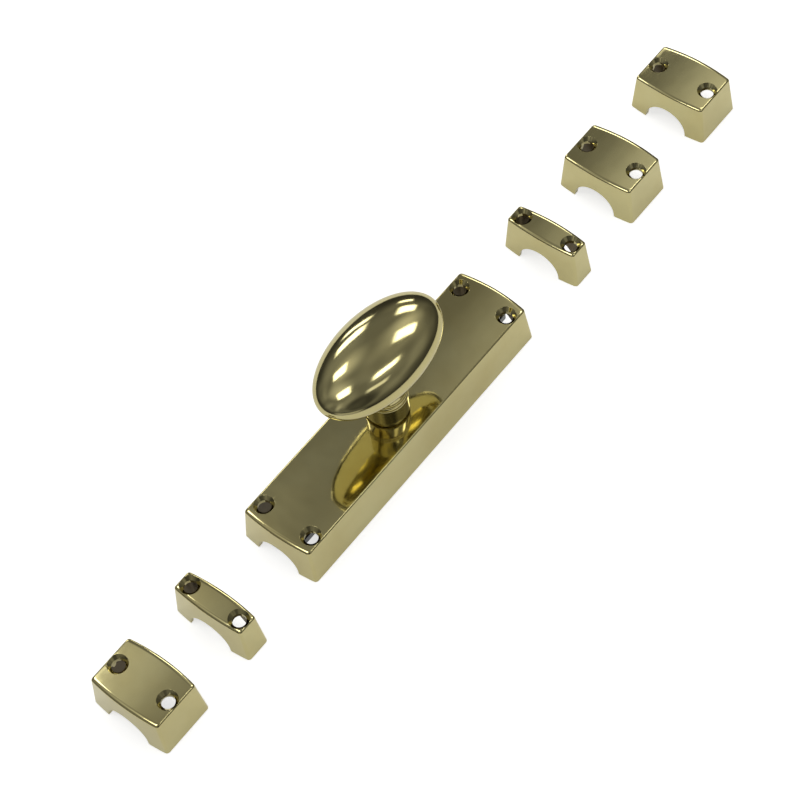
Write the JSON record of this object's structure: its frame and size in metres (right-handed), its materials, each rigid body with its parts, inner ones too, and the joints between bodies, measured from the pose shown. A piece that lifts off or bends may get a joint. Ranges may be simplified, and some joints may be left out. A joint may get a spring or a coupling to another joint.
{
  "type": "surface cremone bolt",
  "caption": "Surface-mounted brass cremone bolt: an oval knob drives two racks in a flat case, with separate arched guides and keepers for half-round rods.",
  "frame": {"origin": "where the knob's axis meets the door, on the back plane of every casting", "axes": "+X up the door along the rod line, +Y across it, +Z along the knob's axis away from the door"},
  "size_m": [0.3517, 0.0352, 0.0629],
  "materials": {
    "polished_brass": "cast and mirror polished",
    "turned_brass": "turned and polished",
    "zinc_plated_steel": "zinc plated",
    "pressed_steel": "bright pressed steel, oiled",
    "bright_steel": "bright drawn steel",
    "sintered_steel": "sintered, satin",
    "spring_steel": "blued spring steel",
    "black_steel": "black oxide"
  },
  "bodies": {
    "root": {"case": "polished_brass", "guide_lower": "polished_brass", "guide_upper": "polished_brass", "wide_guide_upper": "polished_brass", "keeper_lower": "polished_brass", "keeper_upper": "polished_brass", "spindle_bush": "turned_brass", "back_plate": "zinc_plated_steel", "back_plate_screws": "zinc_plated_steel"},
    "knob": {"knob_head": "polished_brass", "neck_ferrule": "turned_brass", "grub_screw": "black_steel", "spindle": "bright_steel", "pinion": "sintered_steel", "pinion_washer": "zinc_plated_steel", "pinion_screw": "zinc_plated_steel", "spring_washer": "spring_steel"},
    "rack_upper": {"rack_upper": "pressed_steel", "rod_peg_upper": "bright_steel"},
    "rack_lower": {"rack_lower": "pressed_steel", "rod_peg_lower": "bright_steel"}
  },
  "joints": [
    {"name": "knob_turn", "type": "hinge", "parent": "root", "child": "knob", "pos_m": [0, 0, 0], "axis": [0, 0, 1], "range_deg": [0, 180]},
    {"name": "rack_upper_slide", "type": "slide", "parent": "root", "child": "rack_upper", "axis": [1, 0, 0], "range_m": [0, 0.022]},
    {"name": "rack_lower_slide", "type": "slide", "parent": "root", "child": "rack_lower", "axis": [-1, 0, 0], "range_m": [0, 0.022]}
  ],
  "couplings": [
    {"joint": "rack_upper_slide", "follows": "knob_turn", "m_per_rad": 0.007},
    {"joint": "rack_lower_slide", "follows": "knob_turn", "m_per_rad": 0.007}
  ]
}
